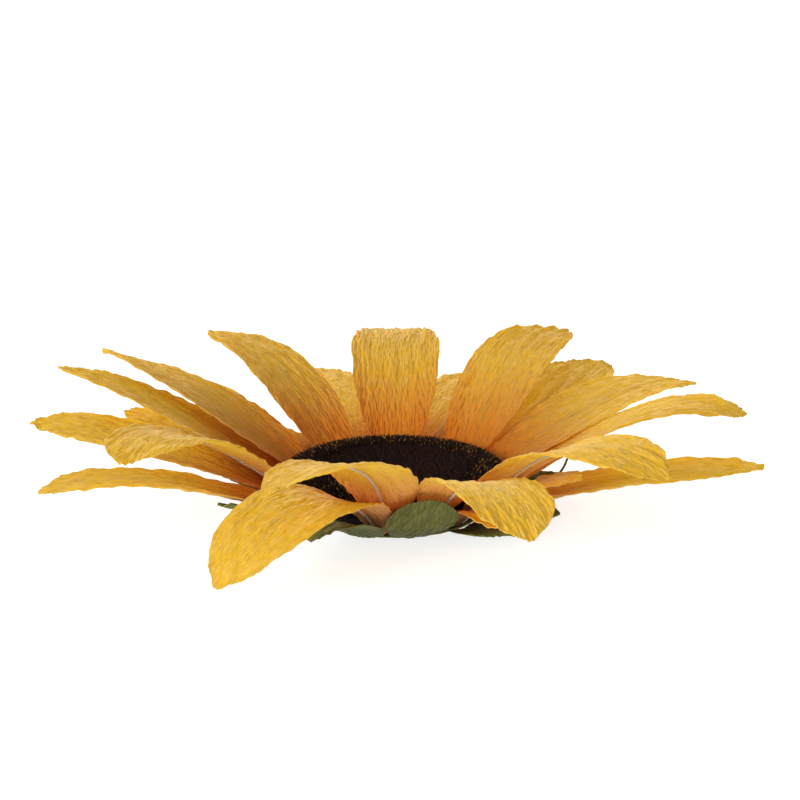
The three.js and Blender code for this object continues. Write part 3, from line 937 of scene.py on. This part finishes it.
# %% [markdown]
# ## The outer fringe
# The strands of the outer roll start close together round the inner one and fan out, so each
# tip's radius decides its strand: where it starts, how far it bends and how high it ends.
# The rim is rounded over, because the outermost strands lean the most.

# %% Ring fringe
RING_STRANDS = 8600
RING_MARGIN = 0.6  # clear of the core inside, and past the plain solid's rim outside
RING_JITTER = 0.4
RING_ROOTS = (1, 5.2)  # the roots start this far out from the core and are this widely spread
RING_ROOT_HEIGHTS = (13, 4)  # height of the innermost root, and how much lower the outermost is
RIM_START = 0.45  # share of the way out where the rim starts to round over
RIM_DROP = 3.4
RING_TIP_DROP = 0.3
RING_TIP_SPREAD = 0.55
RING_TIP_LIMITS = (-1.3, 0.9)
RING_BEND = (0.25, 0.72)  # shares of a strand's way out and way up at which it bends
RING_LEAN = 0.45
RING_THICKNESS = 0.38
RING_PLACES = (0, 0.45, 0.86, 1)  # one more than in the core, because these strands bend

radius, angle = spread_out(
    RING_STRANDS, core_radius + RING_MARGIN, ring_radius + RING_MARGIN, rng, RING_JITTER)
out_share = (radius - core_radius) / (ring_radius + RING_MARGIN - core_radius)
root_radius = core_radius + RING_ROOTS[0] + out_share * RING_ROOTS[1]
root_height = RING_ROOT_HEIGHTS[0] - RING_ROOT_HEIGHTS[1] * out_share
drop = RIM_DROP * np.clip((out_share - RIM_START) / (1 - RIM_START), 0, 1) ** 2
tip_height = (ring_top - RING_TIP_DROP - drop
              + rng.normal(0, RING_TIP_SPREAD, RING_STRANDS).clip(*RING_TIP_LIMITS))
ring_roots = polar(root_radius, angle, root_height)
ring_bends = polar(root_radius + RING_BEND[0] * (radius - root_radius), angle,
                   root_height + RING_BEND[1] * (tip_height - root_height))
ring_tips = polar(radius, angle, tip_height)
ring_tips[:, :2] += rng.normal(0, RING_LEAN, (RING_STRANDS, 2))
ring_fringe = fringe_piece("ring_fringe", ring_roots, ring_bends, ring_tips,
                           RING_PLACES, RING_THICKNESS, RING_FRINGE, rng)
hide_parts("fringe_ring")
print("ring strands:", RING_STRANDS, "faces", len(ring_fringe.data.polygons))

# %% [markdown]
# ## The loose wire
# One end of dark green wire was left standing out between two petals at the right. It is
# stiff, so it keeps the bend it was given. Its route is a smooth curve through a few points.

# %% Loose wire
LOOSE_RINGS = 60
LOOSE_WIRE = np.array([
    (54.5, -19.5, 7.5), (65, -23.5, 13), (75, -25, 18.5), (82, -25, 24.5), (87, -25, 31),
    (89.5, -25, 37)])
knots = np.linspace(0, 1, len(LOOSE_WIRE))
share = np.linspace(0, 1, LOOSE_RINGS)
route = np.stack([smooth_through(np.stack([knots, LOOSE_WIRE[:, c]], axis=-1), share)
                  for c in range(3)], axis=-1)
loose = tube("loose_green_wire", route, WIRE_RADIUS, GREEN_WIRE, "loose_wire")
print("loose wire:", round(np.linalg.norm(np.diff(route, axis=0), axis=1).sum()), "mm")
